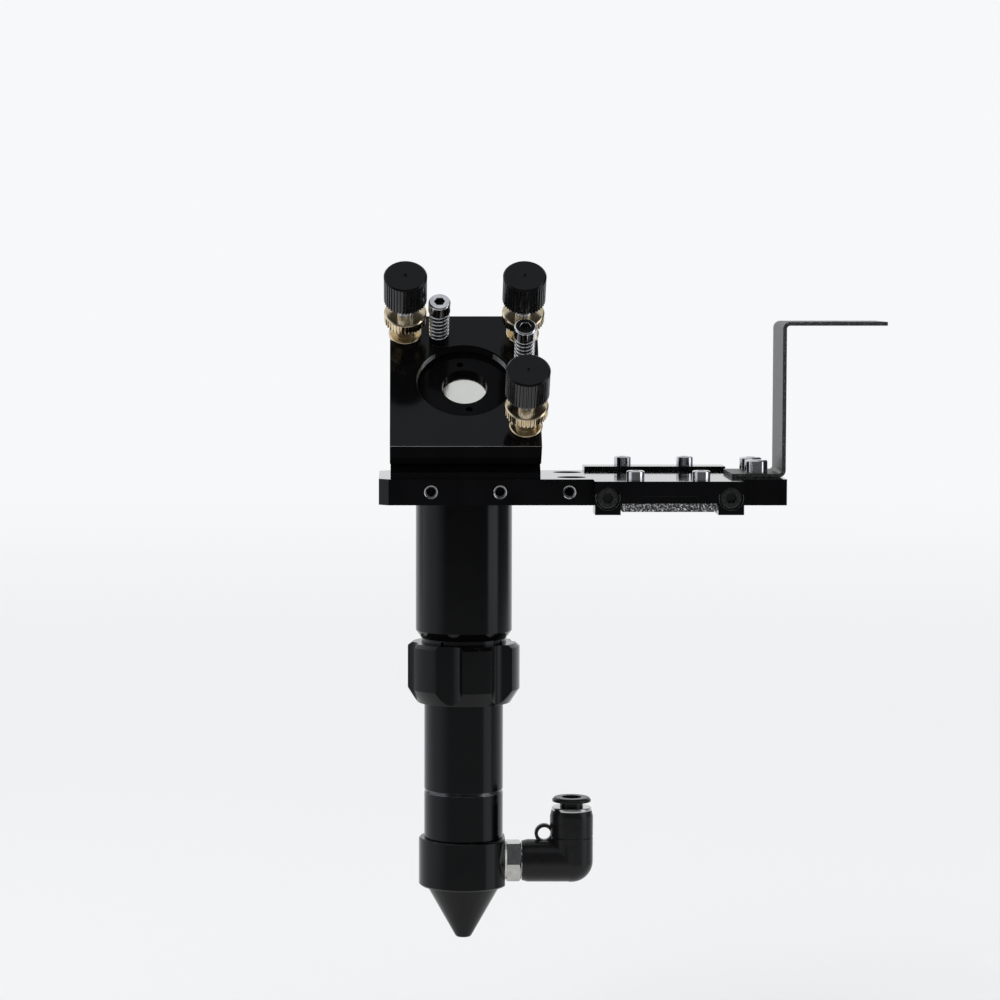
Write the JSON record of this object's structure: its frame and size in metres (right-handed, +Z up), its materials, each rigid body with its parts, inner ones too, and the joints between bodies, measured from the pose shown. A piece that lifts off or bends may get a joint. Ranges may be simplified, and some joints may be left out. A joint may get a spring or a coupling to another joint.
{
  "type": "laser cutting head",
  "caption": "Carriage plate with an adjustable mirror mount on top, a height-set lens tube and cone nozzle below, a swivel air elbow, belt clamps and a cable bracket.",
  "frame": {"origin": "centre of the carriage bolt pattern on the underside of the base plate", "axes": "+Z up, against the beam's way down the nozzle; +Y towards the side where the beam comes in; +X from the beam axis to the carriage and the cable bracket"},
  "size_m": [0.1566, 0.0752, 0.2131],
  "materials": {
    "black_anodised": "semi-gloss black anodised",
    "black_plastic": "satin black moulded plastic",
    "powder_coat": "fine speckled dark grey powder coat",
    "strip_steel": "grey speckled phosphate",
    "bright_steel": "bright zinc plated",
    "black_steel": "black oxide",
    "brass": "pale machined brass",
    "nickel": "satin nickel plate",
    "pale_seal": "pale sealing ring",
    "mirror_back": "polished silicon mirror",
    "lens_glass": "amber zinc selenide lens",
    "seal_rubber": "black rubber"
  },
  "bodies": {
    "frame": {"base_plate": "black_anodised", "mirror_housing": "black_anodised", "housing_screws": "bright_steel", "upper_tube": "black_anodised", "front_clamp_bar": "black_anodised", "rear_clamp_bar": "black_anodised", "front_clamp_strip": "strip_steel", "rear_clamp_strip": "strip_steel", "clamp_bar_screws": "black_steel", "clamp_strip_screws": "bright_steel", "cable_bracket": "powder_coat", "bracket_screws": "bright_steel", "spring_screws": "bright_steel", "upper_spring": "bright_steel", "side_spring": "bright_steel"},
    "mirror_cell": {"mirror_plate": "black_anodised", "beam_mirror": "mirror_back", "mirror_retaining_ring": "black_anodised", "adjuster_bushings": "brass"},
    "upper_left_adjuster": {"upper_left_spindle": "bright_steel", "upper_left_knob": "black_plastic"},
    "upper_right_adjuster": {"upper_right_spindle": "bright_steel", "upper_right_knob": "black_plastic"},
    "lower_screw": {"lower_spindle": "bright_steel"},
    "lower_handle": {"lower_knob": "black_plastic"},
    "upper_left_nut": {"upper_left_lock_nut": "brass"},
    "upper_right_nut": {"upper_right_lock_nut": "brass"},
    "lower_nut": {"lower_lock_nut": "brass"},
    "focus_nut": {"focus_lock_nut": "black_anodised"},
    "lens_assembly": {"lens_tube": "black_anodised", "lens_barrel": "black_anodised", "focus_lens": "lens_glass", "lens_o_ring": "seal_rubber", "lens_retaining_ring": "black_anodised", "nozzle": "black_anodised", "fitting_seal": "pale_seal", "fitting_stem": "nickel", "swivel_seal": "seal_rubber"},
    "elbow": {"elbow_body": "black_plastic", "elbow_collar": "nickel", "tube_seal": "seal_rubber"},
    "button": {"release_button": "black_plastic"}
  },
  "joints": [
    {"name": "mirror_tilt", "type": "hinge", "parent": "frame", "child": "mirror_cell", "pos_m": [-0.058, 0.01414, 0.04458], "axis": [-1, 0, 0], "range_deg": [0, 0.73], "deforming": ["upper_spring", "side_spring"]},
    {"name": "upper_left_knob_turn", "type": "hinge", "parent": "mirror_cell", "child": "upper_left_adjuster", "pos_m": [-0.0764, 0.00707, 0.05165], "axis": [0, 0.7071, -0.7071], "range_deg": [-180, 180]},
    {"name": "upper_right_knob_turn", "type": "hinge", "parent": "mirror_cell", "child": "upper_right_adjuster", "pos_m": [-0.0396, 0.00707, 0.05165], "axis": [0, 0.7071, -0.7071], "range_deg": [-180, 180]},
    {"name": "lower_screw_advance", "type": "slide", "parent": "mirror_cell", "child": "lower_screw", "axis": [0, 0.7071, -0.7071], "range_m": [0, 0.0005]},
    {"name": "lower_knob_turn", "type": "hinge", "parent": "lower_screw", "child": "lower_handle", "pos_m": [-0.0396, -0.02065, 0.02393], "axis": [0, 0.7071, -0.7071], "range_deg": [0, 360]},
    {"name": "upper_left_nut_turn", "type": "hinge", "parent": "mirror_cell", "child": "upper_left_nut", "pos_m": [-0.0764, 0.00707, 0.05165], "axis": [0, -0.7071, 0.7071], "range_deg": [0, 180]},
    {"name": "upper_right_nut_turn", "type": "hinge", "parent": "mirror_cell", "child": "upper_right_nut", "pos_m": [-0.0396, 0.00707, 0.05165], "axis": [0, -0.7071, 0.7071], "range_deg": [0, 180]},
    {"name": "lower_nut_turn", "type": "hinge", "parent": "mirror_cell", "child": "lower_nut", "pos_m": [-0.0396, -0.02065, 0.02393], "axis": [0, -0.7071, 0.7071], "range_deg": [0, 180]},
    {"name": "focus_nut_turn", "type": "hinge", "parent": "frame", "child": "focus_nut", "pos_m": [-0.058, 0, -0.054], "axis": [0, 0, 1], "range_deg": [0, 180]},
    {"name": "focus_slide", "type": "slide", "parent": "frame", "child": "lens_assembly", "axis": [0, 0, 1], "range_m": [-0.02, 0.018]},
    {"name": "elbow_swivel", "type": "hinge", "parent": "lens_assembly", "child": "elbow", "pos_m": [-0.0239, 0, -0.1142], "axis": [1, 0, 0], "continuous": true},
    {"name": "button_press", "type": "slide", "parent": "elbow", "child": "button", "axis": [0, 0, -1], "range_m": [0, 0.0012], "stiffness_N_per_m": 400}
  ],
  "couplings": [
    {"joint": "lower_screw_advance", "follows": "mirror_tilt", "m_per_rad": 0.0392},
    {"joint": "lower_knob_turn", "follows": "mirror_tilt", "ratio": 492.6}
  ]
}
